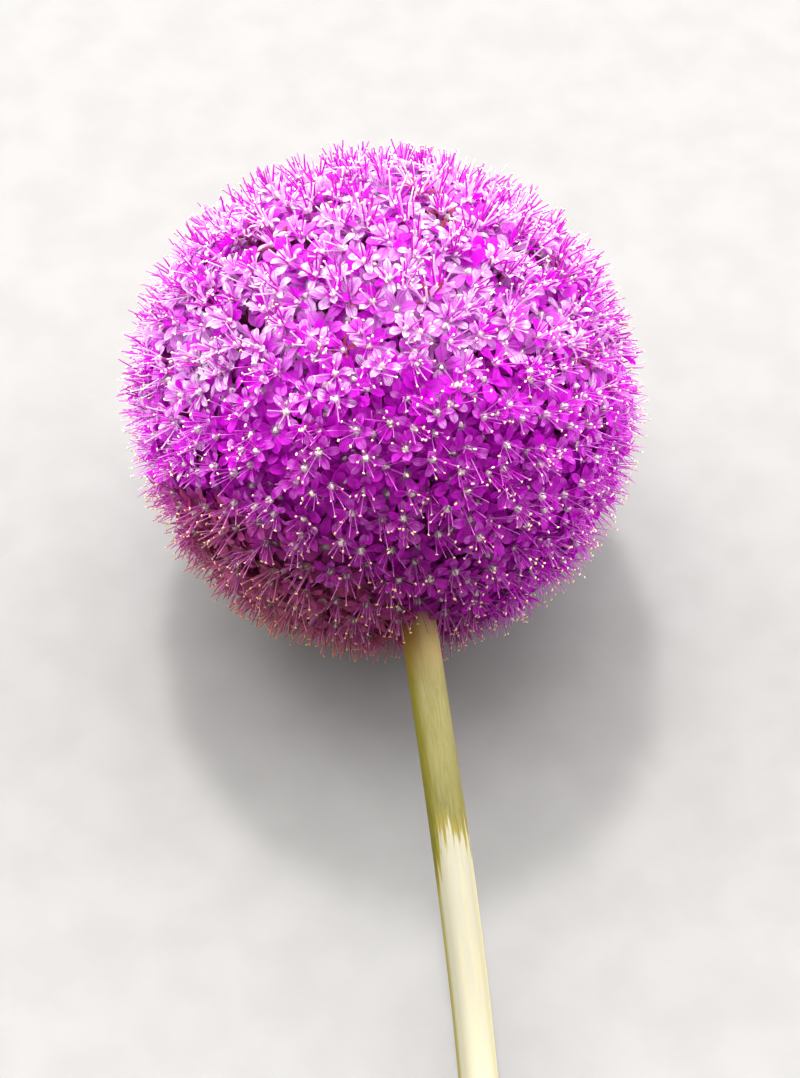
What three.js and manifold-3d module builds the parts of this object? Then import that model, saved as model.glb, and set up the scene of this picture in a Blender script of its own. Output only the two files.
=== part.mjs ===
// A cut allium: a round umbel of star-shaped florets on a bare stem, lying on a flat surface.
// Millimetres, +Z up. The origin is the flat spot under the umbel, straight below its centre;
// +Y runs from the cut end of the stem towards the crown of the umbel.
//
// The flower is modelled upright in its own frame, with the umbel's centre at the origin, the crown
// towards +Z and the stem towards -Z. The exported group then lays it down.
import * as THREE from "three";
import { ConvexGeometry } from "three/addons/geometries/ConvexGeometry.js";
import { mergeVertices } from "three/addons/utils/BufferGeometryUtils.js";
import Module from "manifold-3d";

// ---- Driving dimensions ----
const TIP_RADIUS = 70; // from the umbel's centre to the stamens' tips
const FLORET_RADIUS = 62; // from the umbel's centre to the outermost florets
const FLORET_COUNT = 200; // larger than life, so that this many cover the umbel
const RECEPTACLE_RADIUS = 10; // the knob that carries the flower stalks
const STEM_LENGTH = 215; // from the umbel's centre to the cut
const STEM_TOP_RADIUS = 4.8;
const STEM_CUT_RADIUS = 5.05;
const STEM_BOW = 2.3; // sideways, two thirds of the way down the stem
const SEAM = 0.3; // gap between the stem's top and the receptacle

// ---- One floret, in its own frame: +Z points out of the umbel ----
const PETALS = 6;
const PETAL_TIP = { radius: 11.6, height: -0.6 };
const PETAL_NOTCH = { radius: 5.6, height: -1.5 }; // where two petals meet
const EYE = { radius: 1.3, height: 0.3 }; // the hexagon in the middle, which carries the stamens
const PRESSED_EYE_RADIUS = 2.4; // on the floret that lies flat on the surface
const STAMENS = 3;
const STAMEN_SPLAY = 4.4; // how far a stamen's tip leans out from the floret's axis
const STALK = { radius: 0.65, top: -2.4, sides: 3 };

// ---- How the florets are spread ----
const TIER_DEPTHS = [0, 3.6, 7.2]; // three tiers, so that neighbours overlap without touching
const STEM_CLEARANCE = THREE.MathUtils.degToRad(17.5); // florets stay this far from the stem's axis
const ROOT_SPREAD = THREE.MathUtils.degToRad(122); // stalks leave the receptacle this far from the crown
const FLORET_TILT = THREE.MathUtils.degToRad(5);
const DRIFT = 0.04; // how far a floret strays from the even spiral, as a share of its radius
const SIZE_SPREAD = 0.07;
const TIP_SPREAD = 0.25; // the shortest stamens lose this share of their height
const FULLNESS = 3.2; // how much further the florets reach in the middle of the umbel's full side
const FULL_SIDE = new THREE.Vector3(-0.85, -0.1, 0.51).normalize();
const PETAL_LIFT = 0.3; // petals beside the resting spot stay this far off the surface
const GOLDEN_ANGLE = Math.PI * (3 - Math.sqrt(5));
const SEED = 20;

// ---- How the flower lies: on the umbel and on the lower rim of the cut ----
const REST_HEIGHT = FLORET_RADIUS; // of the umbel's centre
const REST_SLOPE =
  Math.asin(REST_HEIGHT / Math.hypot(STEM_LENGTH, STEM_CUT_RADIUS)) -
  Math.atan2(STEM_CUT_RADIUS, STEM_LENGTH);
const CROWN = new THREE.Vector3(0, 0, 1);
const STEMWARD = new THREE.Vector3(0, 0, -1);
const DOWN = new THREE.Vector3(0, Math.cos(REST_SLOPE), -Math.sin(REST_SLOPE));

const wasm = await Module();
wasm.setup();

// A repeatable random number from 0 to 1.
function seededRandom(seed) {
  let state = seed;
  return () => {
    state = (Math.imul(state, 1664525) + 1013904223) >>> 0;
    return state / 2 ** 32;
  };
}

// ---- From three.js geometry to a solid and back ----
function toSolid(geometry) {
  geometry.deleteAttribute("normal");
  geometry.deleteAttribute("uv");
  const merged = mergeVertices(geometry, 1e-4);
  return new wasm.Manifold(
    new wasm.Mesh({
      numProp: 3,
      vertProperties: merged.getAttribute("position").array,
      triVerts: new Uint32Array(merged.getIndex().array),
    }),
  );
}

function toGeometry(solid) {
  const mesh = solid.getMesh();
  const geometry = new THREE.BufferGeometry();
  geometry.setAttribute("position", new THREE.BufferAttribute(mesh.vertProperties, 3));
  geometry.setIndex(new THREE.BufferAttribute(mesh.triVerts, 1));
  return geometry;
}

function ring(count, radius, height) {
  return Array.from({ length: count }, (_, i) => {
    const angle = (2 * Math.PI * i) / count;
    return new THREE.Vector3(radius * Math.cos(angle), radius * Math.sin(angle), height);
  });
}

// Lifts a point that would be under the surface, so that what is pressed lies flat on it.
function pressUp(point) {
  const depth = point.dot(DOWN) - REST_HEIGHT;
  return depth > 0 ? point.addScaledVector(DOWN, -depth) : point;
}

// ---- Where the florets go ----
// An even spiral of directions from the spot where the umbel rests to the one above it, each shifted
// a little, less those that the stem takes.
function floretDirections(between) {
  const toDown = new THREE.Quaternion().setFromUnitVectors(STEMWARD, DOWN);
  const last = FLORET_COUNT - 1;
  return Array.from({ length: FLORET_COUNT }, (_, i) => {
    const step = i === 0 ? 0 : i === last ? last + 2 : i + 1; // there is one floret at either end
    const z = -1 + (2 * step) / (last + 2);
    const across = Math.sqrt(1 - z * z);
    const angle = GOLDEN_ANGLE * i;
    const spiral = new THREE.Vector3(across * Math.cos(angle), across * Math.sin(angle), z);
    const drift = i === 0 ? 0 : DRIFT;
    const shift = new THREE.Vector3(between(-drift, drift), between(-drift, drift), 0);
    return spiral.applyQuaternion(toDown).add(shift).normalize();
  }).filter((direction) => direction.angleTo(STEMWARD) > STEM_CLEARANCE);
}

// Each floret takes the tier in which its nearest neighbour is furthest away.
function floretTiers(directions) {
  const tiers = [];
  for (const direction of directions) {
    const room = TIER_DEPTHS.map((_, tier) => {
      const others = tiers.flatMap((t, j) => (t === tier ? [directions[j].angleTo(direction)] : []));
      return Math.min(Math.PI, ...others);
    });
    tiers.push(room.indexOf(Math.max(...room)));
  }
  return tiers;
}

// How far the umbel swells out beyond a sphere in this direction.
function swell(direction) {
  return FULLNESS * Math.max(0, direction.dot(FULL_SIDE)) ** 4;
}

// Where a floret's stalk leaves the receptacle: spread over the knob, clear of the stem.
function rootDirection(direction) {
  const fromCrown = direction.angleTo(CROWN) * (ROOT_SPREAD / (Math.PI - STEM_CLEARANCE));
  const sideways = new THREE.Vector3(direction.x, direction.y, 0).normalize();
  return new THREE.Vector3()
    .addScaledVector(CROWN, Math.cos(fromCrown))
    .addScaledVector(sideways, Math.sin(fromCrown));
}

// How far a floret is pushed in, so that its petals stay off the surface that the umbel rests on.
function pushIn(frame, size) {
  const tips = ring(PETALS, PETAL_TIP.radius * size, PETAL_TIP.height);
  const depths = tips.map((tip) => tip.applyMatrix4(frame).dot(DOWN));
  return Math.max(0, Math.max(...depths) - (REST_HEIGHT - PETAL_LIFT));
}

// The places, sizes and stamens of all florets. The first is the one that lies flat.
function placeFlorets() {
  const random = seededRandom(SEED);
  const between = (low, high) => low + (high - low) * random();
  const directions = floretDirections(between);
  const tiers = floretTiers(directions);
  return directions.map((direction, i) => {
    const pressed = i === 0;
    const size = pressed ? 1 : between(1 - SIZE_SPREAD, 1 + SIZE_SPREAD);
    const lean = pressed ? 0 : between(-FLORET_TILT, FLORET_TILT);
    const spin = between(0, (2 * Math.PI) / PETALS);
    const turn = new THREE.Quaternion()
      .setFromUnitVectors(CROWN, direction)
      .multiply(new THREE.Quaternion().setFromEuler(new THREE.Euler(lean, 0, spin)));
    const radius = FLORET_RADIUS + swell(direction) - TIER_DEPTHS[tiers[i]];
    const place = direction.clone().multiplyScalar(radius);
    const frame = new THREE.Matrix4().compose(place, turn, new THREE.Vector3(1, 1, 1));
    if (!pressed) frame.setPosition(place.addScaledVector(direction, -pushIn(frame, size)));

    const toRoot = new THREE.Quaternion().setFromUnitVectors(direction, rootDirection(direction));
    const foot = ring(STALK.sides, STALK.radius, RECEPTACLE_RADIUS).map((p) =>
      p.applyQuaternion(turn).applyQuaternion(toRoot).setLength(RECEPTACLE_RADIUS),
    );
    const stamens = Array.from({ length: pressed ? 0 : STAMENS }, (_, k) => {
      const angle = (Math.PI / 3) * (2 * k + 1);
      const tip = new THREE.Vector3(Math.cos(angle), Math.sin(angle), 0).multiplyScalar(STAMEN_SPLAY);
      const shorter = (TIP_RADIUS - FLORET_RADIUS) * between(0, TIP_SPREAD);
      tip.z = TIP_RADIUS + swell(direction) - place.length() - shorter;
      return pressUp(tip.applyMatrix4(frame));
    });
    return { frame, size, foot, stamens, pressed };
  });
}

// ---- The solids ----
// One floret with its stalk: six pointed petals, an eye with a stamen at every second side, and a
// three-sided stalk down to its foot.
function floretGeometry({ frame, size, foot, stamens, pressed }) {
  const flat = (shape) => (pressed ? { ...shape, height: 0 } : shape);
  const [tip, notch] = [flat(PETAL_TIP), flat(PETAL_NOTCH)];
  const eye = pressed ? { radius: PRESSED_EYE_RADIUS, height: 0 } : EYE;
  const outline = ring(2 * PETALS, size, 0).map((p, i) => {
    const { radius, height } = i % 2 ? notch : tip;
    return p.multiplyScalar(radius).setZ(height);
  });
  const middle = ring(PETALS, eye.radius, eye.height);
  const stalkTop = ring(STALK.sides, STALK.radius, STALK.top);
  const bloom = [...outline, ...middle, ...stalkTop].map((p) => p.applyMatrix4(frame));
  const points = [...bloom, ...foot, ...stamens];

  const edge = (i) => (i + outline.length) % outline.length;
  const inner = (i) => outline.length + (i % PETALS);
  const neck = (i) => outline.length + PETALS + (i % STALK.sides);
  const base = (i) => neck(i) + STALK.sides;
  const stamen = (i) => outline.length + PETALS + 2 * STALK.sides + i;

  const faces = [[inner(0), inner(2), inner(4)]];
  for (let k = 0; k < PETALS; k++) {
    faces.push([inner(k), edge(2 * k - 1), edge(2 * k)]);
    faces.push([inner(k), edge(2 * k), edge(2 * k + 1)]);
    faces.push([inner(k), edge(2 * k + 1), inner(k + 1)]);
  }
  for (let k = 0; k < STAMENS; k++) {
    const corner = [inner(2 * k), inner(2 * k + 1), inner(2 * k + 2)];
    if (pressed) faces.push(corner);
    else corner.forEach((p, i) => faces.push([p, corner[(i + 1) % 3], stamen(k)]));
  }
  for (let k = 0; k < STALK.sides; k++) {
    for (let i = 4 * k - 2; i < 4 * k + 2; i++) {
      faces.push([neck(k), edge(i + 1), edge(i)]);
    }
    faces.push([neck(k), neck(k + 1), edge(4 * k + 2)]);
    faces.push([neck(k), base(k + 1), neck(k + 1)]);
    faces.push([neck(k), base(k), base(k + 1)]);
  }
  faces.push([base(0), base(2), base(1)]);

  const geometry = new THREE.BufferGeometry().setFromPoints(points);
  geometry.setIndex(faces.flat());
  return geometry;
}

// How far below the umbel's centre the receptacle sits on the stem.
const SEAT = Math.sqrt(RECEPTACLE_RADIUS ** 2 - STEM_TOP_RADIUS ** 2);

// The knob has a corner at each corner of each stalk's foot, and a flat seat over the stem.
function flowerHead() {
  const florets = placeFlorets();
  const seat = ring(12, STEM_TOP_RADIUS, -SEAT);
  const knob = new ConvexGeometry([...seat, ...florets.flatMap(({ foot }) => foot)]);
  const join = (whole, floret) => whole.add(toSolid(floretGeometry(floret)));
  return toGeometry(florets.reduce(join, toSolid(knob)));
}

// A round, tapered rod from under the receptacle to the cut. It starts straight and then bows, most
// of all two thirds of the way down.
function stem() {
  const top = -SEAT - SEAM;
  const length = STEM_LENGTH + top;
  const geometry = new THREE.CylinderGeometry(STEM_TOP_RADIUS, STEM_CUT_RADIUS, length, 28, 10);
  geometry.rotateX(Math.PI / 2); // its axis onto Z, with the top end up
  geometry.translate(0, 0, top - length / 2);
  const place = geometry.getAttribute("position");
  for (let i = 0; i < place.count; i++) {
    const share = -place.getZ(i) / STEM_LENGTH;
    place.setX(i, place.getX(i) + 6.75 * STEM_BOW * share ** 2 * (1 - share));
  }
  return toGeometry(toSolid(geometry));
}

function named(name, geometry, material) {
  const mesh = new THREE.Mesh(geometry, new THREE.MeshStandardMaterial(material));
  mesh.name = name;
  return mesh;
}

const flower = new THREE.Group();
flower.add(named("flower_head", flowerHead(), { color: 0xb03cc4, roughness: 0.55, metalness: 0 }));
flower.add(named("stem", stem(), { color: 0xc6bf86, roughness: 0.5, metalness: 0 }));
flower.rotation.x = REST_SLOPE - Math.PI / 2;
flower.position.z = REST_HEIGHT;

const allium = new THREE.Group();
allium.add(flower);

export default allium;
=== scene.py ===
"""The looks of a cut allium that lies on its side. Some 2,700 small florets, with their stalks and
stamens, stand for the CAD umbel, and a streaked waxy skin stands for the CAD stem.

Lengths are in millimetres until a mesh is made, and colours are written as they look on a screen.
"""
import math

import bpy
import numpy as np
from mathutils import Matrix, Vector


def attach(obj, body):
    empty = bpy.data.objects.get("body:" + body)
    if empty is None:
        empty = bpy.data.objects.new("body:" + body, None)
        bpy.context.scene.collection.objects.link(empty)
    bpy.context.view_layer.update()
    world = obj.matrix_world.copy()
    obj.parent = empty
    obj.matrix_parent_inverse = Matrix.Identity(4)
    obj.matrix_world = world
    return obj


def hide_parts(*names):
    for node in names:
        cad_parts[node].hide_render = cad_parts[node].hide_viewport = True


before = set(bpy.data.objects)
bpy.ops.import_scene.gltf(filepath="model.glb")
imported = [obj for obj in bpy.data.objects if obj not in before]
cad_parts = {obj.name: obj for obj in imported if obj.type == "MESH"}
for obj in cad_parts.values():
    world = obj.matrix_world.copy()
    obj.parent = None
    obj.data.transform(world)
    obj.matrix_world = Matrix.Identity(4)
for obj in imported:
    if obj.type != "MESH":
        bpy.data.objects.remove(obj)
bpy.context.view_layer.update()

MM = 0.001

# ---- The flower's own sizes, as in its CAD solids ----
TIP_RADIUS = 70.0  # from the umbel's centre to the stamens' tips
FULLNESS = 3.2  # how much further the florets reach in the middle of the umbel's full side
RECEPTACLE_RADIUS = 10.0
SEAM = 0.3  # gap between the receptacle and the stem's top
STEM_LENGTH = 215.0  # from the umbel's centre to the cut
STEM_TOP_RADIUS = 4.8
STEM_CUT_RADIUS = 5.05
STEM_BOW = 2.3  # sideways, two thirds of the way down the stem
BOW_PEAK = 4 / 27  # what share**2 * (1 - share) comes to at two thirds

# ---- How it lies: on the umbel and on the lower rim of the cut ----
REST_HEIGHT = 62.0  # of the umbel's centre
REST_SLOPE = math.asin(REST_HEIGHT / math.hypot(STEM_LENGTH, STEM_CUT_RADIUS)) - math.atan2(
    STEM_CUT_RADIUS, STEM_LENGTH
)
CENTRE = np.array([0.0, 0.0, REST_HEIGHT])
STEMWARD = np.array([0.0, -math.cos(REST_SLOPE), -math.sin(REST_SLOPE)])
CROWNWARD = -STEMWARD
SIDEWAYS = np.array([1.0, 0.0, 0.0])  # the way the stem bows
FLOORWARD = np.cross(SIDEWAYS, STEMWARD)  # square to both, on the stem's lower side
FULL_SIDE = np.array([-0.851, 0.467, 0.238])

SEED = 11
rng = np.random.default_rng(SEED)


# =============================== vectors and meshes ===============================
def unit(v):
    return v / np.linalg.norm(v, axis=-1, keepdims=True)


def between(low, high, *shape):
    return rng.uniform(low, high, shape)


def around(sides):
    """The angles of a ring's corners."""
    return 2 * math.pi * np.arange(sides) / sides


def soft_limit(distance, limit, margin):
    """distance, eased within the margin so that it never gets below limit."""
    inside = distance < limit + margin
    eased = limit + margin * np.exp(np.minimum(distance - limit - margin, 0.0) / margin)
    return np.where(inside, eased, distance)


def stem_axis(along):
    """The middle of the stem at these distances from the umbel's centre."""
    share = along / STEM_LENGTH
    bow = STEM_BOW * share**2 * (1 - share) / BOW_PEAK
    return CENTRE + along[..., None] * STEMWARD + bow[..., None] * SIDEWAYS


FLOOR_MARGIN = 2.4  # what is lower than this starts to bend away from the floor
STEM_MARGIN = 1.0
STEM_GAP = 0.2  # between the stem and what bends clear of it
TINY = 1e-6  # keeps a division away from zero


def settle(points, floor_margin=FLOOR_MARGIN):
    """points as they lie: pressed flat where the umbel rests, and bent clear of the stem."""
    out = points.copy()
    out[..., 2] = soft_limit(out[..., 2], 0.0, floor_margin)
    along = (out - CENTRE) @ STEMWARD
    axis = stem_axis(along)
    aside = out - axis
    distance = np.linalg.norm(aside, axis=-1)
    clear = soft_limit(distance, STEM_CUT_RADIUS + STEM_GAP, STEM_MARGIN)
    scale = np.where((along > 0) & (distance > TINY), clear / np.maximum(distance, TINY), 1.0)
    return axis + aside * scale[..., None]


def new_piece(name, shape, material, replaced):
    """A mesh object from (points, faces, attributes), which rides on the part's body."""
    points, faces, attributes = shape
    mesh = bpy.data.meshes.new(name)
    mesh.from_pydata((points.reshape(-1, 3) * MM).tolist(), [], faces)
    mesh.shade_smooth()
    for key, values in attributes.items():
        layer = mesh.attributes.new(key, "FLOAT", "POINT")
        layer.data.foreach_set("value", np.ascontiguousarray(values, dtype=np.float32).ravel())
    mesh.materials.append(material)
    piece = bpy.data.objects.new(name, mesh)
    bpy.context.scene.collection.objects.link(piece)
    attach(piece, "root")
    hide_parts(replaced)


def grid_faces(copies, rows, columns, closed=False):
    """Quads over copies of a grid of points. A closed grid joins its last column to its first."""
    row, column = np.meshgrid(
        np.arange(rows - 1), np.arange(columns if closed else columns - 1), indexing="ij"
    )
    here = row * columns + column
    right = row * columns + (column + 1) % columns
    quads = np.stack([here, right, right + columns, here + columns], -1).reshape(-1, 4)
    offsets = np.arange(copies)[:, None, None] * rows * columns
    return (quads[None] + offsets).reshape(-1, 4).tolist()


def tubes(paths, radii, sides=4):
    """Round tubes along paths (tube, step, xyz), open at both ends."""
    count, steps = paths.shape[:2]
    along = unit(np.gradient(paths, axis=1))
    # Any direction serves as the hint, but for the one that the path itself starts in.
    upright = np.abs(along[:, :1, 2:]) >= 0.9
    hint = np.where(upright, [[[1.0, 0.0, 0.0]]], [[[0.0, 0.0, 1.0]]])
    first = unit(np.cross(along, np.broadcast_to(hint, along.shape)))
    second = np.cross(along, first)
    cosine, sine = np.cos(around(sides))[:, None], np.sin(around(sides))[:, None]
    spokes = first[:, :, None] * cosine + second[:, :, None] * sine
    points = paths[:, :, None] + spokes * np.broadcast_to(radii, (count, steps))[:, :, None, None]
    return points, grid_faces(count, steps, sides, closed=True)


# =============================== where the florets are ===============================
OPEN_COUNT = 985  # florets that reach the outside and show their stamens
SUNKEN_COUNT = 1700  # these sit low, between the stalks of their neighbours
FLORET_RADIUS = 64.5  # from the umbel's centre to the outermost florets
OPEN_STRAY = 0.28  # how far they stray from an even spiral, as a share of their spacing
SUNKEN_STRAY = 0.3
OPEN_DEPTH = 3.0  # how far in the lowest open florets are, but for the waves
SUNKEN_DEPTHS = (2.4, 5.6)
WAVE_COUNT = 10
WAVE_TURNS = (3.0, 7.0)  # radians from the umbel's centre to its outside
WAVE_DEPTH = 0.7  # of a slow rise and fall over the umbel
FLORET_TILT = 0.24  # how far florets lean away from straight out
FLORET_SIZES = (0.9, 1.1)
SUNKEN_SCALE = 1.26  # broad, so that they close the gaps between the open florets
SUNKEN_TONES = (0.6, 1.0)  # tones go up to 1, the deepest
STEM_CLEARANCE = math.radians(6.5)  # florets stay this far from the stem's axis
GOLDEN_ANGLE = math.pi * (3 - math.sqrt(5))


def spiral(count, stray, pole):
    """Directions spread evenly over the umbel, but for the stem's place. pole orders their axes."""
    i = np.arange(count) + 0.5
    z = 1 - 2 * i / count
    across = np.sqrt(1 - z * z)
    even = np.stack([across * np.cos(GOLDEN_ANGLE * i), across * np.sin(GOLDEN_ANGLE * i), z], -1)
    spacing = math.sqrt(4 * math.pi / count)
    found = unit(even[:, pole] + rng.normal(0, stray * spacing, even.shape))
    return found[found @ STEMWARD < math.cos(STEM_CLEARANCE)]


def waves():
    """A smooth bumpy field over the umbel, about -1 to 1."""
    axes = unit(rng.normal(size=(WAVE_COUNT, 3)))
    turns = between(*WAVE_TURNS, WAVE_COUNT)
    phases = between(0, 2 * math.pi, WAVE_COUNT)
    return np.sin(directions @ axes.T * turns + phases).sum(1) / math.sqrt(WAVE_COUNT)


open_directions = spiral(OPEN_COUNT, OPEN_STRAY, [0, 1, 2])
sunken_directions = spiral(SUNKEN_COUNT, SUNKEN_STRAY, [2, 0, 1])
directions = np.concatenate([open_directions, sunken_directions])
florets = len(directions)
all_florets = np.arange(florets)
open_ones, sunken_ones = np.split(all_florets, [len(open_directions)])
sunken = all_florets >= len(open_directions)

shallow = OPEN_DEPTH * rng.random(florets) ** 1.5 + WAVE_DEPTH * waves()
depth = np.where(sunken, between(*SUNKEN_DEPTHS, florets), shallow)
normals = unit(directions + rng.normal(0, FLORET_TILT, directions.shape))
spin = unit(np.cross(normals, rng.normal(size=normals.shape)))
basis = np.stack([spin, np.cross(normals, spin), normals], 1)  # rows: two across, one out
swell = FULLNESS * np.clip(directions @ FULL_SIDE, 0, 1) ** 4
reach = FLORET_RADIUS + swell - np.clip(depth, 0, None)
centres = CENTRE + directions * reach[:, None]
floret_size = between(*FLORET_SIZES, florets) * np.where(sunken, SUNKEN_SCALE, 1.0)
floret_tone = np.where(sunken, between(*SUNKEN_TONES, florets), rng.random(florets))


def zone(towards, start, steepness, ragged=0.0):
    """0 to 1 for each floret, rising from where it faces this way by start."""
    ramp = (directions @ towards - start) * steepness
    if ragged:
        ramp = ramp + rng.normal(0, ragged, florets)
    return np.clip(ramp, 0, 1)


# The oldest florets are low on the umbel, to the left as the stem points at the viewer.
OLD_SIDE = unit(np.array([-0.5, -0.72, -0.48]))
age = zone(OLD_SIDE, start=0.63, steepness=2.7, ragged=0.14)

# Painted light: florets towards the crown, where the light falls, get paler petals. A few of them have
# withered.
WITHERED_SHARE = 0.016
crown_light = zone(CROWNWARD, start=-0.4, steepness=1.9, ragged=0.14)
withered = rng.random(florets) < WITHERED_SHARE * crown_light

# Painted shade: florets next to the stem, where the umbel faces away from the light, are darkened, but
# less so where they are old, and on the right.
LESS_WHERE_OLD = 0.8
LESS_ON_THE_RIGHT = 0.9
stemward_shade = zone(STEMWARD, start=0.3, steepness=1.6) * (1 - LESS_WHERE_OLD * age)
stemward_shade = stemward_shade * (1 - LESS_ON_THE_RIGHT * zone(SIDEWAYS, start=0.0, steepness=1.6))

FLORET_VALUES = {"tone": floret_tone, "age": age, "crown_light": crown_light, "stemward_shade": stemward_shade, "withered": withered}


def to_world(local, which):
    """Points in the frames of these florets (floret, ..., xyz) to where they are."""
    shape = (len(which),) + (1,) * (local.ndim - 2) + (3,)
    return centres[which].reshape(shape) + np.einsum("f...i,fij->f...j", local, basis[which])


def floret_values(which, full, *names):
    """Attributes of the full shape, whose values at each point are those of the point's floret."""
    shape = (len(which),) + (1,) * (len(full) - 1)
    return {name: np.broadcast_to(FLORET_VALUES[name][which].reshape(shape), full) for name in names}


# =============================== petals ===============================
WHORL_SIZE = 3  # petals, or stamens, in each of a floret's two whorls
PETAL_LENGTH = 4.35
PETAL_LENGTH_SHARES = (0.9, 1.1)
PETAL_HALF_WIDTH = 1.28
PETAL_WIDTH_SHARES = (0.85, 1.12)
PETAL_ROOT = 0.85  # from the floret's axis
PETAL_STRAY = 0.09  # radians
INNER_LIFT = 0.12  # of the inner whorl over the outer one
INNER_NARROWING = 0.12
CROWN_NARROWING = 0.2
PETAL_OPENINGS = (2, 52)  # degrees that a floret's petals stand up by
CROWN_RISE = 18  # degrees more, on the open florets furthest towards the crown
PETAL_RISE = 13  # degrees up or down, between the petals of one floret
ROOT_RISE = 0.25  # radians; petals start this much steeper, and then bend outwards
OUTWARD_BEND = 22  # degrees
TIP_DROOP = 0.6  # radians at most, beyond that bend
WITHERED_RISE = 0.9  # radians
WITHERED_WIDTH = 0.45
PETAL_CUPS = (0.05, 0.5)  # how far the edges come up, as a share of the half width
PETAL_TWIST = 0.3
TIP_ROUNDING = 0.05  # how far the tip's corners stay back, as a share of the length
OPEN_TONE_STRAY = 0.42
SUNKEN_TONE_STRAY = 0.2

PETAL_STEPS = np.array([0.0, 0.2, 0.44, 0.68, 0.88, 1.0])
PETAL_WIDTHS = np.array([0.34, 0.58, 0.9, 1.0, 0.8, 0.3])  # at those steps
PETAL_ACROSS = np.array([-1.0, -0.3, 0.3, 1.0])
SUNKEN_PETAL_STEPS = np.array([0.0, 0.3, 0.68, 0.9, 1.0])
SUNKEN_PETAL_ACROSS = np.array([-1.0, 0.0, 1.0])


def whorl_azimuths(many, whorl, stray):
    """Where the petals or stamens of whorl 0 or 1 stand around each of many florets."""
    even = (2 * np.arange(WHORL_SIZE) + whorl) * math.pi / WHORL_SIZE
    return even + between(-stray, stray, many, WHORL_SIZE)


def petal_lines(which, whorl, step, length):
    """The petals' middle lines (out and up), their slopes in radians, and their half widths."""
    many = len(which)
    gone = withered[which][:, None]
    at_crown = np.where(sunken[which], 0.0, crown_light[which])[:, None]
    size = floret_size[which][:, None]
    half_width = PETAL_HALF_WIDTH * size * between(*PETAL_WIDTH_SHARES, many, WHORL_SIZE)
    half_width = half_width * (1 - INNER_NARROWING * whorl) * (1 - CROWN_NARROWING * at_crown)
    opening = between(*PETAL_OPENINGS, many)[:, None] + CROWN_RISE * at_crown
    opening = opening + between(-PETAL_RISE, PETAL_RISE, many, WHORL_SIZE)
    start = np.where(gone, WITHERED_RISE, np.radians(opening) + ROOT_RISE)
    end = np.radians(opening - OUTWARD_BEND) - between(0, TIP_DROOP, many, WHORL_SIZE)

    slope = start[..., None] + (end - start)[..., None] * step
    run = np.diff(step, prepend=0)
    out = PETAL_ROOT + np.cumsum(np.cos(slope) * run, -1) * length[..., None]
    up = INNER_LIFT * whorl + np.cumsum(np.sin(slope) * run, -1) * length[..., None]
    width = half_width[..., None] * np.interp(step, PETAL_STEPS, PETAL_WIDTHS)
    width = np.where(gone[..., None], width * WITHERED_WIDTH, width)
    return out, up, slope, width


def petals(which, whorl, step, across):
    """Three of each floret's petals, as (points, faces, attributes)."""
    many = len(which)
    azimuth = whorl_azimuths(many, whorl, PETAL_STRAY)[..., None, None]
    length = PETAL_LENGTH * floret_size[which][:, None]
    length = length * between(*PETAL_LENGTH_SHARES, many, WHORL_SIZE)
    lines = petal_lines(which, whorl, step, length)
    out, up, slope, width = (line[..., None] for line in lines)

    cup = between(*PETAL_CUPS, many, WHORL_SIZE)[..., None, None]
    bulge = width * cup * across**2
    rounding = TIP_ROUNDING * length[..., None, None] * (step**4)[:, None] * across**2
    radial = out - np.sin(slope) * bulge - rounding
    side = width * across
    twist = between(-PETAL_TWIST, PETAL_TWIST, many, WHORL_SIZE)[..., None, None] * step[:, None]
    height = up + np.cos(slope) * bulge + side * twist

    x = radial * np.cos(azimuth) - side * np.sin(azimuth)
    y = radial * np.sin(azimuth) + side * np.cos(azimuth)
    points = settle(to_world(np.stack([x, y, height], -1), which))
    full = points.shape[:-1]
    stray = np.where(sunken[which], SUNKEN_TONE_STRAY, OPEN_TONE_STRAY)[:, None]
    tone = np.clip(floret_tone[which][:, None] + stray * between(-1, 1, many, WHORL_SIZE), 0, 1)
    attributes = {
        "along": np.broadcast_to(step[:, None], full),
        "across": np.broadcast_to(across, full),
        "tone": np.broadcast_to(tone[..., None, None], full),
        **floret_values(which, full, "age", "crown_light", "stemward_shade", "withered"),
    }
    return points, grid_faces(many * WHORL_SIZE, len(step), len(across)), attributes


# =============================== stamens ===============================
FILAMENT_STEPS = np.array([0.0, 0.12, 0.32, 0.66, 1.0])
FILAMENT_RADII = np.array([0.4, 0.25, 0.18, 0.15, 0.12])
FILAMENT_LENGTHS = (3.0, 11.5)
FILAMENT_REACHES = (0.72, 1.14)  # shares of the way to TIP_RADIUS
FILAMENT_LEANS = (0.1, 0.56)  # radians
FILAMENT_BEND = 0.5
FILAMENT_ROOT = (0.75, 0.1)  # out from the floret's axis, and up
FILAMENT_STRAY = 0.15  # radians
THICKNESS = 0.92  # of the filaments of florets that are neither old nor towards the crown
OLD_THICKENING = 0.6
CROWN_THICKENING = 0.55
FILAMENT_TONE = 0.5
FILAMENT_TONE_STRAY = 0.5
CROWN_DARKENING = 0.22  # painted shade: filaments towards the crown get deeper tones, darker than the lit petals


def filament_paths(whorl):
    """The middle lines of three of each open floret's stamens (floret, stamen, step, xyz)."""
    shape = (len(open_ones), WHORL_SIZE)
    azimuth = whorl_azimuths(len(open_ones), whorl, FILAMENT_STRAY)[..., None]
    lean = between(*FILAMENT_LEANS, *shape)[..., None]
    room = (TIP_RADIUS + swell - reach)[open_ones]
    wanted = room[:, None, None] * between(*FILAMENT_REACHES, *shape)[..., None] / np.cos(lean)
    length = np.clip(wanted, *FILAMENT_LENGTHS)
    bend = between(-FILAMENT_BEND, FILAMENT_BEND, *shape)[..., None]
    s = FILAMENT_STEPS
    out = FILAMENT_ROOT[0] + np.sin(lean) * length * s + bend * s * (1 - s)
    up = FILAMENT_ROOT[1] + np.cos(lean) * length * s
    return to_world(np.stack([out * np.cos(azimuth), out * np.sin(azimuth), up], -1), open_ones)


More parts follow.
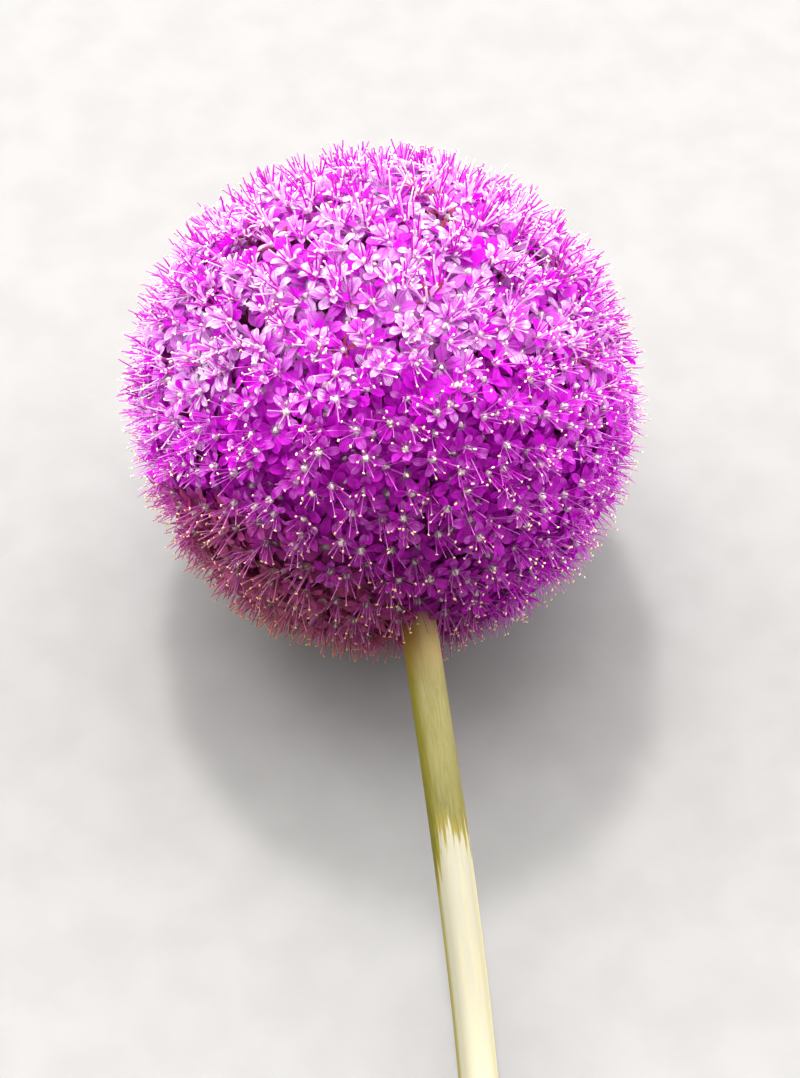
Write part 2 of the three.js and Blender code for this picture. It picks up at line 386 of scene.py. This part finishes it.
def filaments(paths):
    """The filaments along these middle lines. Those of old florets and of florets towards the crown are
    thicker.
    """
    owner = np.repeat(open_ones, paths.shape[1])
    flat = settle(paths).reshape(len(owner), len(FILAMENT_STEPS), 3)
    thicker = THICKNESS + OLD_THICKENING * age[owner] + CROWN_THICKENING * crown_light[owner]
    points, faces = tubes(flat, FILAMENT_RADII * (floret_size[owner] * thicker)[:, None])
    full = points.shape[:-1]
    stray = between(-FILAMENT_TONE_STRAY, FILAMENT_TONE_STRAY, len(owner))
    tone = np.clip(FILAMENT_TONE + CROWN_DARKENING * crown_light[owner] + stray, 0, 1)
    attributes = {
        "along": np.broadcast_to(FILAMENT_STEPS[:, None], full),
        "tone": np.broadcast_to(tone[:, None, None], full),
        **floret_values(owner, full, "age", "crown_light", "stemward_shade"),
    }
    return points, faces, attributes


ANTHER_STEPS = np.array([-1.0, -0.6, 0.6, 1.0])
ANTHER_RADII = np.array([0.1, 0.92, 0.92, 0.1])
ANTHER_SHARE = 0.5  # of the stamens
ANTHER_SIDES = 6
ANTHER_HALF_LENGTHS = (0.32, 0.52)
ANTHER_THICKNESSES = (0.21, 0.3)
ANTHER_WIDTH = 1.1  # across, as a share of its thickness
ANTHER_HEIGHT = 0.85
ANTHER_GROOVE = 0.28  # how deep it is between the two lobes
ANTHER_LEAN = 0.6
ANTHER_FLOOR_MARGIN = 1.2


def anthers(paths):
    """A two-lobed bead across the end of half of the stamens."""
    ends = paths[:, :, -1].reshape(-1, 3)
    lasts = unit((paths[:, :, -1] - paths[:, :, -2]).reshape(-1, 3))
    owner = np.repeat(open_ones, paths.shape[1])
    kept = rng.random(len(ends)) < ANTHER_SHARE
    ends, lasts, owner = ends[kept], lasts[kept], owner[kept]
    count = len(ends)

    square_on = np.cross(lasts, rng.normal(size=lasts.shape))
    long_way = unit(square_on + lasts * between(-ANTHER_LEAN, ANTHER_LEAN, count)[:, None])
    wide_way = unit(np.cross(lasts, long_way))
    deep_way = np.cross(long_way, wide_way)
    half = between(*ANTHER_HALF_LENGTHS, count)[:, None, None, None]
    thick = between(*ANTHER_THICKNESSES, count)[:, None, None, None]

    cosine, sine = np.cos(around(ANTHER_SIDES)), np.sin(around(ANTHER_SIDES))
    radius = ANTHER_RADII[:, None] * (1 - ANTHER_GROOVE * np.abs(sine) ** 3)
    wide = cosine[:, None] * wide_way[:, None, None] * ANTHER_WIDTH
    deep = sine[:, None] * deep_way[:, None, None] * ANTHER_HEIGHT
    lengthwise = ANTHER_STEPS[:, None, None] * long_way[:, None, None]
    points = ends[:, None, None] + half * lengthwise + thick * radius[..., None] * (wide + deep)
    points = settle(points, ANTHER_FLOOR_MARGIN)
    full = points.shape[:-1]
    attributes = {
        "tone": np.broadcast_to(rng.random(count)[:, None, None], full),
        **floret_values(owner, full, "age", "stemward_shade"),
    }
    return points, grid_faces(count, len(ANTHER_STEPS), ANTHER_SIDES, closed=True), attributes


# =============================== ovaries, styles and stalks ===============================
OVARY_RADIUS = 1.02
OVARY_HEIGHT = 1.75
OVARY_FOOT = -0.25
OVARY_LOBE = 0.16
SUNKEN_OVARY_SCALE = 0.75
OVARY_STEPS = np.array([0.0, 0.35, 0.75, 1.0])
OVARY_RADII = np.array([0.8, 1.0, 0.7, 0.08])
OVARY_SIDES = 9
SUNKEN_OVARY_STEPS = np.array([0.0, 0.6, 1.0])
SUNKEN_OVARY_SIDES = 6


def ovaries(which, step, sides):
    """The ovary of each of these florets, in three lobes."""
    angle = around(sides)
    lobes = np.cos(3 * angle)
    size = (floret_size[which] * np.where(sunken[which], SUNKEN_OVARY_SCALE, 1.0))[:, None, None]
    profile = np.interp(step, OVARY_STEPS, OVARY_RADII)[:, None]
    radius = OVARY_RADIUS * profile * (1 + OVARY_LOBE * lobes) * size
    height = np.broadcast_to(OVARY_FOOT + OVARY_HEIGHT * step[:, None] * size, radius.shape)
    local = np.stack([radius * np.cos(angle), radius * np.sin(angle), height], -1)
    points = settle(to_world(local, which))
    full = points.shape[:-1]
    attributes = {
        "along": np.broadcast_to(step[:, None], full),
        "across": np.broadcast_to(lobes, full),
        **floret_values(which, full, "age", "stemward_shade"),
    }
    return points, grid_faces(len(which), len(step), sides, closed=True), attributes


STYLE_STEPS = np.array([0.0, 0.5, 1.0])
STYLE_RADII = np.array([0.16, 0.12, 0.1])
STYLE_LENGTHS = (1.8, 3.6)
STYLE_FOOT = 1.3  # just under the ovary's top
STYLE_LEAN = 0.1


def styles():
    """The thin style on top of each open floret's ovary."""
    many = len(open_ones)
    length = between(*STYLE_LENGTHS, many)[:, None, None] * STYLE_STEPS[:, None]
    aside = rng.normal(0, STYLE_LEAN, (many, 2))[:, None] * length
    local = np.concatenate([aside, STYLE_FOOT + length], -1)
    points, faces = tubes(settle(to_world(local, open_ones)), STYLE_RADII)
    full = points.shape[:-1]
    attributes = {
        "along": np.broadcast_to(STYLE_STEPS[:, None], full),
        **floret_values(open_ones, full, "tone", "age", "crown_light", "stemward_shade"),
    }
    return points, faces, attributes


STALK_STEPS = np.array([0.0, 0.25, 0.6, 0.93, 0.985, 1.0])
STALK_RADII = np.array([0.42, 0.35, 0.34, 0.42, 0.7, 0.9])
ROOT_SPREAD = math.radians(125)  # stalks leave the receptacle this far from the crown
ROOT_DEPTH = 1.5  # inside the receptacle
STALK_TOP = 0.15  # under the floret's own centre
STALK_STRAY = 1.2
STALK_CURVE = 4.0


def root_directions():
    """Where the stalks leave the receptacle: spread over it, clear of the stem."""
    from_crown = np.arccos(np.clip(directions @ CROWNWARD, -1, 1))
    sideways = unit(directions - (directions @ CROWNWARD)[:, None] * CROWNWARD)
    at = (from_crown * ROOT_SPREAD / (math.pi - STEM_CLEARANCE))[:, None]
    return CROWNWARD * np.cos(at) + sideways * np.sin(at)


def stalks():
    """The flower stalks, from the receptacle to the florets."""
    roots = CENTRE + root_directions() * (RECEPTACLE_RADIUS - ROOT_DEPTH)
    ends = centres - normals * STALK_TOP
    middle = (roots + ends) / 2 + rng.normal(0, STALK_STRAY, roots.shape)
    bends = middle - normals * STALK_CURVE
    s = STALK_STEPS[:, None]
    roots, bends, ends = roots[:, None], bends[:, None], ends[:, None]
    paths = (1 - s) ** 2 * roots + 2 * s * (1 - s) * bends + s**2 * ends
    points, faces = tubes(settle(paths), STALK_RADII)
    full = points.shape[:-1]
    attributes = {"along": np.broadcast_to(STALK_STEPS[:, None], full)}
    return points, faces, attributes


# =============================== the stem ===============================
STEM_SIDES = 72
SKIN_RINGS = 150
RIM_STEP = 0.35  # from the last ring of the skin to the cut
CUT_RINGS = np.array([1.0, 0.985, 0.9, 0.7, 0.45, 0.2, 0.03])  # the rim, and the rings inside it
RIB_HEIGHT = 0.0045  # as a share of the stem's radius
RIBS = ((5, 0.4, 0.004), (9, 2.1, -0.006), (14, 4.0, 0.003), (23, 1.2, 0.0))  # count, phase, twist
WAVER = 0.006  # slow changes of the radius, as a share of it
WAVER_LENGTH = 17.0  # millimetres for each radian of the wave


def stem_shape():
    """The stem's skin with the face of the cut, and the places that its colours go by."""
    top = math.sqrt(RECEPTACLE_RADIUS**2 - STEM_TOP_RADIUS**2) + SEAM
    skin = np.linspace(top, STEM_LENGTH - RIM_STEP, SKIN_RINGS)
    along = np.concatenate([skin, np.full(len(CUT_RINGS), STEM_LENGTH)])
    radius = STEM_TOP_RADIUS + (STEM_CUT_RADIUS - STEM_TOP_RADIUS) * along / STEM_LENGTH
    radius[SKIN_RINGS:] *= CUT_RINGS

    angle = around(STEM_SIDES)
    ring = np.arange(len(along))[:, None]
    ribs = sum(
        RIB_HEIGHT * np.cos(count * angle + phase + along[:, None] * twist)
        for count, phase, twist in RIBS
    )
    waver = WAVER * np.sin(along / WAVER_LENGTH)[:, None]
    uneven = 1 + waver + ribs * (ring < SKIN_RINGS)
    spokes = np.cos(angle)[:, None] * SIDEWAYS + np.sin(angle)[:, None] * FLOORWARD
    points = stem_axis(along)[:, None] + spokes * (radius[:, None] * uneven)[..., None]
    full = points.shape[:-1]
    attributes = {
        "down": np.broadcast_to(along[:, None], full),
        "right": np.broadcast_to(np.cos(angle), full),
        "under": np.broadcast_to(np.sin(angle), full),
        "cut": np.broadcast_to(ring > SKIN_RINGS, full),
        "from_rim": np.broadcast_to(np.minimum(radius / STEM_CUT_RADIUS, 1)[:, None], full),
    }
    faces = grid_faces(1, len(along), STEM_SIDES, closed=True)
    faces.append(list(range(STEM_SIDES))[::-1])
    last = (len(along) - 1) * STEM_SIDES
    faces.append(list(range(last, last + STEM_SIDES)))
    return points, faces, attributes


# =============================== materials ===============================
def rgb(text):
    """A screen colour such as "c71fd6" as linear RGBA."""
    values = [int(text[i : i + 2], 16) / 255 for i in (0, 2, 4)]
    return [v / 12.92 if v <= 0.04045 else ((v + 0.055) / 1.055) ** 2.4 for v in values] + [1.0]


class Shader:
    """A material under construction: a Principled shader and the nodes that feed it."""

    def __init__(self, name, **constants):
        self.material = bpy.data.materials.new(name)
        self.material.use_nodes = True
        self.tree = self.material.node_tree
        self.surface = self.tree.nodes["Principled BSDF"]
        for key, value in constants.items():
            self.surface.inputs[key.replace("_", " ")].default_value = value

    def add(self, kind, inputs=(), **settings):
        node = self.tree.nodes.new("ShaderNode" + kind)
        for key, value in settings.items():
            setattr(node, key, value)
        for key, value in dict(inputs).items():
            self.feed(node.inputs[key], value)
        return node

    def feed(self, socket, value):
        if isinstance(value, bpy.types.NodeSocket):
            self.tree.links.new(value, socket)
        else:
            socket.default_value = value

    def value(self, name):
        return self.add("Attribute", attribute_name=name).outputs["Fac"]

    def math(self, operation, a, b=0.0):
        return self.add("Math", {0: a, 1: b}, operation=operation).outputs[0]

    def times(self, a, b):
        return self.math("MULTIPLY", a, b)

    def spread(self, value, low, high, to_low=0.0, to_high=1.0):
        """value, mapped smoothly from low..high to to_low..to_high."""
        inputs = {0: value, 1: low, 2: high, 3: to_low, 4: to_high}
        return self.add("MapRange", inputs, interpolation_type="SMOOTHSTEP").outputs[0]

    def mix(self, share, a, b):
        return self.add("Mix", {0: share, 6: a, 7: b}, data_type="RGBA").outputs[2]

    def tint(self, colour, text, value, low, high, most=1.0):
        """colour, with up to the share most of another one as value goes from low to high."""
        return self.mix(self.spread(value, low, high, 0.0, most), colour, rgb(text))

    def ramp(self, value, *stops):
        node = self.add("ValToRGB", {0: value})
        band = node.color_ramp
        while len(band.elements) < len(stops):
            band.elements.new(0.5)
        for element, (place, colour) in zip(band.elements, stops):
            element.position = place
            element.color = rgb(colour)
        return node.outputs[0]

    def vector(self, x, y, z=0.0):
        return self.add("CombineXYZ", {0: x, 1: y, 2: z}).outputs[0]

    def noise(self, vector, scale, detail=2.0, roughness=0.5):
        inputs = {"Vector": vector, "Scale": scale, "Detail": detail, "Roughness": roughness}
        return self.add("TexNoise", inputs).outputs[0]

    def grain(self, scale, detail=2.0):
        """Noise by place, at this many cells to the metre."""
        return self.noise(self.add("TexCoord").outputs["Object"], scale, detail)

    def finish(self, colour, bump=None, strength=0.3, distance=0.0001):
        self.feed(self.surface.inputs["Base Color"], colour)
        if bump is not None:
            inputs = {"Height": bump, "Strength": strength, "Distance": distance}
            self.feed(self.surface.inputs["Normal"], self.add("Bump", inputs).outputs[0])
        return self.material

    def glow_through(self, colour, share):
        """Lets light through a thin petal or stamen."""
        tree = self.tree
        thin = self.add("BsdfTranslucent", {"Color": colour})
        both = self.add("MixShader", {0: share})
        output = tree.nodes["Material Output"]
        tree.links.new(self.surface.outputs[0], both.inputs[1])
        tree.links.new(thin.outputs[0], both.inputs[2])
        tree.links.new(both.outputs[0], output.inputs["Surface"])


def petal_material():
    m = Shader("petal skin", Roughness=0.26, Specular_IOR_Level=0.3)
    along, across, tone = m.value("along"), m.value("across"), m.value("tone")
    crown_light, age = m.value("crown_light"), m.value("age")
    fresh = m.ramp(along, (0.0, "f4e8f4"), (0.16, "e87cea"), (0.38, "e810ea"), (1.0, "ec20f0"))
    deep = m.ramp(along, (0.0, "e6d0e6"), (0.16, "e014e2"), (0.6, "e002e2"), (1.0, "e810ea"))
    colour = m.mix(tone, fresh, deep)
    # Painted shade and light: away from the crown the petals are darkened as shaded, and at the lit
    # crown their magenta is deepened to hold back its light.
    colour = m.tint(colour, "68006a", crown_light, 0.3, 0.0, 0.2)
    colour = m.tint(colour, "9c009e", crown_light, 0.25, 0.9, 0.25)

    # Painted light: near the crown, where the light falls, the lighter petals turn near-white, most of
    # all between their veins.
    lines = m.vector(m.times(across, 5.5), m.times(along, 0.8), m.times(tone, 40.0))
    veins = m.noise(lines, 1.9, 3.0)
    lit_white = m.ramp(along, (0.0, "f6ecf4"), (0.2, "e6b4e8"), (0.6, "e8bcee"), (1.0, "fcf4fc"))
    lit_whiteness = m.times(m.spread(crown_light, 0.2, 0.75), m.spread(tone, 1.0, 0.55))
    lit_whiteness = m.times(lit_whiteness, m.spread(veins, 0.4, 0.5, 0.35, 1.0))
    colour = m.mix(lit_whiteness, colour, lit_white)

    # Painted highlights: near-white streaks of glint run in from the tip, between fine dark veins, most
    # of all towards the crown.
    glint_streak = m.times(m.spread(veins, 0.46, 0.52), m.spread(along, 0.4, 0.7))
    glint_streak = m.times(glint_streak, m.spread(crown_light, 0.0, 0.25, 0.2, 1.0))
    glint_streak = m.times(glint_streak, m.spread(tone, 0.6, 0.4))
    colour = m.mix(glint_streak, colour, rgb("fff8ff"))
    colour = m.tint(colour, "9a0896", veins, 0.5, 0.34, 0.36)
    colour = m.tint(colour, "a0149a", m.math("ABSOLUTE", across), 0.25, 0.02, 0.35)

    old = m.ramp(along, (0.0, "a89a78"), (0.3, "ac3678"), (1.0, "b84888"))
    colour = m.mix(m.spread(age, 0.0, 0.6), colour, old)
    colour = m.tint(colour, "ce748c", age, 0.5, 1.0, 0.8)
    # Painted shade next to the stem.
    colour = m.mix(m.times(m.value("stemward_shade"), 0.5), colour, rgb("6c0830"))
    colour = m.mix(m.value("withered"), colour, rgb("a8485a"))
    m.glow_through(colour, 0.45)
    return m.finish(colour, bump=veins, strength=0.9, distance=0.0004)


def filament_material():
    m = Shader("stamen skin", Roughness=0.26, Specular_IOR_Level=0.4)
    along, tone, crown_light = m.value("along"), m.value("tone"), m.value("crown_light")
    # Painted light and shade: by its tone each filament gets a light, lit look or a deep, shaded one;
    # towards the crown the light ones turn near-white as if lit and the deep ones a vivid magenta as if
    # backlit.
    light = m.ramp(along, (0.0, "ece4e0"), (0.25, "d868da"), (0.7, "d45cd8"), (1.0, "dc9cdc"))
    lit_white = m.ramp(along, (0.0, "f4f0e6"), (0.3, "ecbcea"), (0.7, "f0d4ee"), (1.0, "f6eef2"))
    light = m.mix(m.spread(crown_light, 0.1, 0.7), light, lit_white)
    dark = m.ramp(along, (0.0, "eadce4"), (0.2, "e208de"), (0.6, "d80cd0"), (1.0, "e4acdf"))
    vivid = m.ramp(along, (0.0, "e8b8e4"), (0.2, "cc00c6"), (0.8, "c000ba"), (1.0, "d060ca"))
    dark = m.mix(m.spread(crown_light, 0.3, 0.9), dark, vivid)
    colour = m.mix(m.spread(tone, 0.42, 0.66), light, dark)
    old = m.ramp(along, (0.0, "a8987c"), (0.4, "b8647c"), (1.0, "c88878"))
    colour = m.mix(m.value("age"), colour, old)
    colour = m.tint(colour, "c860c4", m.grain(2500.0), 0.35, 0.75, 0.25)
    # Painted shade next to the stem.
    colour = m.mix(m.times(m.value("stemward_shade"), 0.8), colour, rgb("6c1c48"))
    m.glow_through(colour, 0.4)
    return m.finish(colour)


def anther_material():
    m = Shader("anther pollen", Roughness=0.75)
    colour = m.ramp(m.value("tone"), (0.0, "f4ebcc"), (0.6, "ecd8aa"), (1.0, "d6ae7c"))
    colour = m.mix(m.value("age"), colour, rgb("b8843a"))
    # Painted shade next to the stem.
    colour = m.mix(m.times(m.value("stemward_shade"), 0.85), colour, rgb("96703e"))
    grain = m.grain(6000.0)
    colour = m.tint(colour, "cfa062", grain, 0.45, 0.75, 0.4)
    return m.finish(colour, bump=grain, strength=0.6)


def ovary_material():
    m = Shader("ovary skin", Roughness=0.45)
    along, across = m.value("along"), m.value("across")
    colour = m.ramp(along, (0.0, "f2e8f0"), (0.5, "e8e2dc"), (1.0, "dcdcc8"))
    colour = m.tint(colour, "a8a690", across, -0.1, -1.0, 0.6)
    colour = m.mix(m.value("age"), colour, rgb("7c7854"))
    # Painted shade next to the stem.
    colour = m.mix(m.times(m.value("stemward_shade"), 0.8), colour, rgb("706450"))
    grain = m.grain(4000.0, 3.0)
    colour = m.tint(colour, "f6f2ea", grain, 0.5, 0.8, 0.4)
    return m.finish(colour, bump=grain, strength=0.4)


def stalk_material():
    m = Shader("stalk skin", Roughness=0.5)
    green_end = ((0.0, "b8bf7a"), (0.5, "8f9a4a"), (0.72, "94704a"))
    colour = m.ramp(m.value("along"), *green_end, (0.86, "a03c84"), (1.0, "c030b0"))
    grain = m.grain(900.0, 3.0)
    colour = m.tint(colour, "6d6a30", grain, 0.4, 0.75, 0.5)
    return m.finish(colour, bump=grain, strength=0.3)


CREAM_START = 121.0  # where the olive skin starts to turn cream, from the umbel's centre


def olive_skin(m, down, right, fine, broad, coarse):
    """The stem's upper skin: brown under the umbel, partly the umbel's painted shadow, then olive with
    a greyish wax, lighter near the umbel as painted light, bare on the left and darker there as painted
    shade.
    """
    # Painted light: the olive is lighter near the umbel, making up for the umbel's shadow.
    lower = m.spread(down, 84.0, 118.0)
    olive = m.mix(lower, rgb("6f6837"), rgb("514d24"))
    wax = m.mix(lower, rgb("7e7851"), rgb("605d3a"))
    dull = m.mix(lower, rgb("6f683b"), rgb("5a5626"))
    waxed = m.mix(m.spread(fine, 0.35, 0.7, 0.0, 0.8), olive, wax)
    waxed = m.mix(m.spread(broad, 0.45, 0.7, 0.0, 0.4), waxed, dull)
    # The bare band on the left is darkened as painted shade.
    bare = m.mix(lower, rgb("585104"), rgb("403d03"))
    bare = m.tint(bare, "6a6311", fine, 0.3, 0.7, 0.3)
    left = m.spread(m.math("ADD", right, m.times(coarse, 0.5)), -0.1, -0.6)
    colour = m.tint(m.mix(left, waxed, bare), "6d5e35", right, 0.86, 0.98, 0.7)
    # Painted shade: the brown under the umbel, partly its own colour and partly the umbel's shadow, is
    # darker on the left.
    brown = m.mix(m.spread(right, -0.7, 0.3), rgb("735117"), rgb("9f8656"))
    return m.mix(m.spread(down, 83.0, 62.0), colour, brown)


def cream_skin(m, down, right, broad, coarse):
    """The stem's lower skin, with a few lengthwise bands, painted shade on the left and a yellower end.
    """
    colour = m.mix(m.spread(down, 150.0, 200.0), rgb("817d6d"), rgb("95907a"))
    colour = m.tint(colour, "8c8668", coarse, 0.45, 0.7, 0.6)
    # Painted shade: the cream darkens towards the left side.
    colour = m.tint(colour, "706d5b", right, -0.1, -0.75, 0.8)
    colour = m.tint(colour, "948d61", right, 0.72, 0.82, 0.5)
    colour = m.tint(colour, "989379", right, 0.86, 0.98)
    colour = m.tint(colour, "655d22", right, -0.84, -0.94, 0.9)
    yellowing = m.times(m.spread(down, 196.0, 210.0), m.spread(broad, 0.42, 0.6, 0.0, 0.7))
    return m.mix(yellowing, colour, rgb("9f8f4a"))


def cut_face(m, right, under):
    """Pale pith with a greener rim and fine dots."""
    pith = m.mix(m.spread(m.value("from_rim"), 0.82, 0.97), rgb("dfe3b8"), rgb("a9b46a"))
    dots = m.noise(m.vector(m.times(right, 9.0), m.times(under, 9.0)), 2.2)
    return m.tint(pith, "b7bd80", dots, 0.52, 0.68, 0.5)


def stem_material():
    m = Shader("stem skin", Roughness=0.5, Specular_IOR_Level=0.12)
    down, right, under = m.value("down"), m.value("right"), m.value("under")
    lengthwise = m.vector(m.times(right, 5.0), m.times(under, 5.0), m.times(down, 0.07))
    fine = m.noise(lengthwise, 3.2, 4.0, 0.6)
    broad = m.noise(lengthwise, 1.3)
    coarse = m.noise(lengthwise, 0.6)
    colour = olive_skin(m, down, right, fine, broad, coarse)

    # The cream foot starts in long ragged fingers, further down on the left.
    edge = m.math("ADD", down, m.times(broad, 30.0))
    edge = m.math("ADD", edge, m.times(fine, 7.0))
    edge = m.math("SUBTRACT", edge, m.times(m.spread(right, -0.55, -0.98), 16.0))
    colour = m.tint(colour, "6c601d", edge, CREAM_START + 8.0, CREAM_START + 18.0, 0.7)
    foot = m.spread(edge, CREAM_START + 17.0, CREAM_START + 21.5)
    colour = m.mix(foot, colour, cream_skin(m, down, right, broad, coarse))
    colour = m.mix(m.value("cut"), colour, cut_face(m, right, under))
    return m.finish(colour, bump=fine, strength=0.25, distance=0.0002)


# =============================== the camera, the light and the floor ===============================
IMAGE_HEIGHT = 1078  # the picture's frame, in pixels
IMAGE_WIDTH = 800
HEAD_AT = (387.0, 403.0)  # the umbel's centre in it
PIXEL = 0.2722  # millimetres, at the umbel's centre
CAMERA_TURN = math.radians(-7.0)
CAMERA_RISE = math.radians(56.0)
CAMERA_DISTANCE = 700.0
SENSOR_HEIGHT = 24.0


def camera_axes():
    """The camera's own right, up and backward directions."""
    across = math.cos(CAMERA_RISE)
    back = np.array(
        [
            math.sin(CAMERA_TURN) * across,
            -math.cos(CAMERA_TURN) * across,
            math.sin(CAMERA_RISE),
        ]
    )
    right = unit(np.cross([0.0, 0.0, 1.0], back))
    return right, np.cross(back, right), back


def add_camera():
    right, up, back = camera_axes()
    place = CENTRE + back * CAMERA_DISTANCE
    place = place + right * (IMAGE_WIDTH / 2 - HEAD_AT[0]) * PIXEL
    place = place - up * (IMAGE_HEIGHT / 2 - HEAD_AT[1]) * PIXEL
    data = bpy.data.cameras.new("camera")
    data.sensor_fit = "VERTICAL"
    data.sensor_height = SENSOR_HEIGHT
    data.lens = SENSOR_HEIGHT * CAMERA_DISTANCE / (IMAGE_HEIGHT * PIXEL)
    data.clip_start, data.clip_end = 0.01, 20.0
    camera = bpy.data.objects.new("camera", data)
    turn = Matrix([right, up, back]).transposed()
    camera.matrix_world = Matrix.Translation(Vector(place) * MM) @ turn.to_4x4()
    bpy.context.scene.collection.objects.link(camera)
    bpy.context.scene.camera = camera


def add_sun(name, towards, strength, angle, colour=(1.0, 1.0, 1.0)):
    """A lamp that shines from this direction. A wide angle, in degrees, makes it soft."""
    data = bpy.data.lights.new(name, "SUN")
    data.energy = strength
    data.angle = math.radians(angle)
    data.color = colour
    lamp = bpy.data.objects.new(name, data)
    lamp.rotation_mode = "QUATERNION"
    lamp.rotation_quaternion = Vector(towards).to_track_quat("Z", "Y")
    bpy.context.scene.collection.objects.link(lamp)


def add_light():
    right, up, back = camera_axes()
    key = unit(up * 0.91 + back * 0.38 - right * 0.1)
    add_sun("key light", key, strength=3.6, angle=7.0, colour=(1.0, 0.985, 0.985))
    add_sun("soft key light", key, strength=8.0, angle=75.0)
    for name, side, strength in (("left", -1, 3.8), ("right", 1, 4.4)):
        towards = unit(right * side * 0.86 + up * 0.5 + back * 0.15)
        add_sun(name + " soft light", towards, strength, angle=60.0)
    world = bpy.data.worlds.new("studio")
    world.use_nodes = True
    background = world.node_tree.nodes["Background"]
    background.inputs["Color"].default_value = (1.0, 0.98, 1.0, 1.0)
    background.inputs["Strength"].default_value = 0.95
    bpy.context.scene.world = world
    bpy.context.scene.view_settings.view_transform = "Standard"


FLOOR_HALF = 3.0  # metres


def add_floor():
    mesh = bpy.data.meshes.new("floor")
    signs = ((-1, -1), (1, -1), (1, 1), (-1, 1))
    corners = [(x * FLOOR_HALF, y * FLOOR_HALF, 0) for x, y in signs]
    mesh.from_pydata(corners, [], [(0, 1, 2, 3)])
    m = Shader("floor", Roughness=0.8)
    grain = m.grain(60.0, 4.0)
    mesh.materials.append(m.finish(m.mix(m.spread(grain, 0.3, 0.7), rgb("6d6c6a"), rgb("71706e"))))
    floor = bpy.data.objects.new("floor", mesh)
    bpy.context.scene.collection.objects.link(floor)


# =============================== the flower ===============================
def floret_piece(name, shape, material):
    new_piece(name, shape, material, "flower_head")


def add_umbel():
    petal_skin, stamen_skin = petal_material(), filament_material()
    for whorl, name in enumerate(("outer", "inner")):
        wide = petals(open_ones, whorl, PETAL_STEPS, PETAL_ACROSS)
        floret_piece(name + "_petals", wide, petal_skin)
        low = petals(sunken_ones, whorl, SUNKEN_PETAL_STEPS, SUNKEN_PETAL_ACROSS)
        floret_piece("sunken_" + name + "_petals", low, petal_skin)
    paths = [filament_paths(whorl) for whorl in (0, 1)]
    for name, path in zip(("outer", "inner"), paths):
        floret_piece(name + "_stamens", filaments(path), stamen_skin)
    floret_piece("anthers", anthers(np.concatenate(paths, 1)), anther_material())
    ovary_skin = ovary_material()
    floret_piece("ovaries", ovaries(open_ones, OVARY_STEPS, OVARY_SIDES), ovary_skin)
    low = ovaries(sunken_ones, SUNKEN_OVARY_STEPS, SUNKEN_OVARY_SIDES)
    floret_piece("sunken_ovaries", low, ovary_skin)
    floret_piece("styles", styles(), stamen_skin)
    floret_piece("flower_stalks", stalks(), stalk_material())


add_camera()
add_light()
add_floor()
add_umbel()
new_piece("stem_skin", stem_shape(), stem_material(), "stem")
